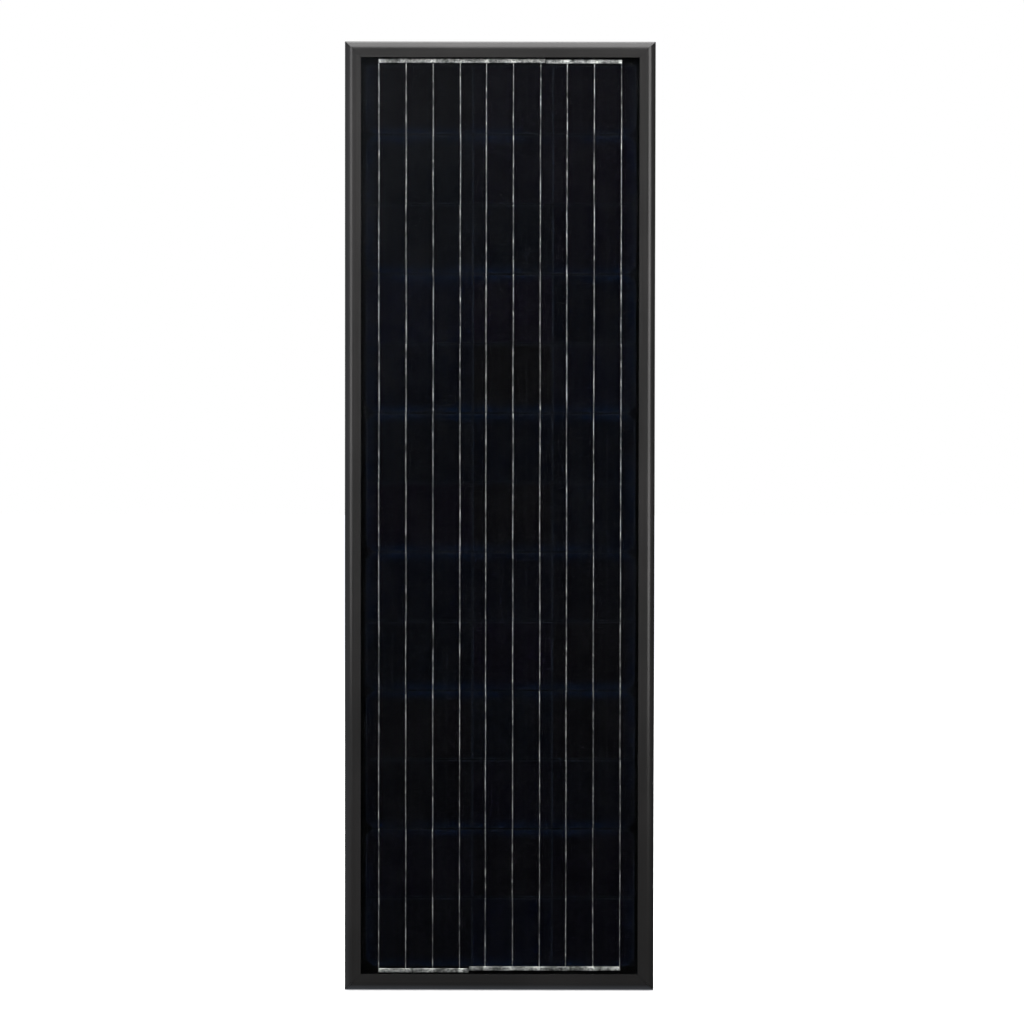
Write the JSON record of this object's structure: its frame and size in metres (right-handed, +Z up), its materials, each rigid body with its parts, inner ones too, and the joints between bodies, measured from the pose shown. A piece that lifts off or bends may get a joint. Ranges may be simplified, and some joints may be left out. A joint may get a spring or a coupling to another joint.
{
  "type": "solar panel",
  "caption": "Tall framed solar panel: black cells behind glass in a bevelled black frame, with a hinged junction box and cable glands on the back.",
  "frame": {"origin": "middle of the rear mounting plane, in which the frame's rear flanges lie", "axes": "+X to the right seen from the cell side, +Y from the cells to the back, +Z up along the long side"},
  "size_m": [0.359, 0.035, 1.099],
  "materials": {
    "black_anodised": "satin black anodised extrusion",
    "bare_aluminium": "mill finish",
    "front_glass": "clear tempered low-iron glass",
    "encapsulant": "clear laminated film",
    "solar_cell": "dark blue-black mono silicon with fine silver fingers",
    "tinned_copper": "tinned copper ribbon, soldered",
    "backsheet": "black laminated polymer sheet",
    "sealant": "black silicone rubber",
    "box_plastic": "moulded, finely textured",
    "steel": "zinc plated",
    "epoxy": "moulded epoxy",
    "label_film": "silver polyester film, blank"
  },
  "bodies": {
    "panel": {"frame_rail_left": "black_anodised", "frame_rail_right": "black_anodised", "frame_rail_top": "black_anodised", "frame_rail_bottom": "black_anodised", "corner_key_top_left": "bare_aluminium", "corner_key_top_right": "bare_aluminium", "corner_key_bottom_right": "bare_aluminium", "corner_key_bottom_left": "bare_aluminium", "perimeter_seal": "sealant", "front_glass": "front_glass", "front_encapsulant": "encapsulant", "rear_encapsulant": "encapsulant", "backsheet": "backsheet", "cell_string_left": "solar_cell", "cell_string_centre": "solar_cell", "cell_string_right": "solar_cell", "bus_ribbon_top_left": "tinned_copper", "bus_ribbon_top_right": "tinned_copper", "bus_ribbon_bottom_left": "tinned_copper", "bus_ribbon_bottom_right": "tinned_copper", "lead_ribbon_left": "tinned_copper", "lead_ribbon_middle": "tinned_copper", "lead_ribbon_right": "tinned_copper", "terminal_left": "tinned_copper", "terminal_middle": "tinned_copper", "terminal_right": "tinned_copper", "terminal_screw_left": "steel", "terminal_screw_middle": "steel", "terminal_screw_right": "steel", "bypass_diode_left": "epoxy", "bypass_diode_right": "epoxy", "junction_box_adhesive": "sealant", "junction_box_base": "box_plastic", "gland_body_left": "box_plastic", "gland_body_right": "box_plastic", "gland_seal_left": "sealant", "gland_seal_right": "sealant", "gland_locknut_left": "box_plastic", "gland_locknut_right": "box_plastic", "rating_label": "label_film"},
    "box_lid": {"junction_box_lid": "box_plastic", "lid_gasket": "sealant"},
    "nut_left": {"gland_nut_left": "box_plastic"},
    "nut_right": {"gland_nut_right": "box_plastic"}
  },
  "joints": [
    {"name": "lid_hinge", "type": "hinge", "parent": "panel", "child": "box_lid", "pos_m": [0, -0.008, 0.4885], "axis": [1, 0, 0], "range_deg": [0, 110]},
    {"name": "gland_nut_left_turn", "type": "hinge", "parent": "panel", "child": "nut_left", "pos_m": [-0.03, -0.01715, 0.3842], "axis": [0, 0, -1], "range_deg": [0, 540]},
    {"name": "gland_nut_right_turn", "type": "hinge", "parent": "panel", "child": "nut_right", "pos_m": [0.03, -0.01715, 0.3842], "axis": [0, 0, -1], "range_deg": [0, 540]}
  ]
}
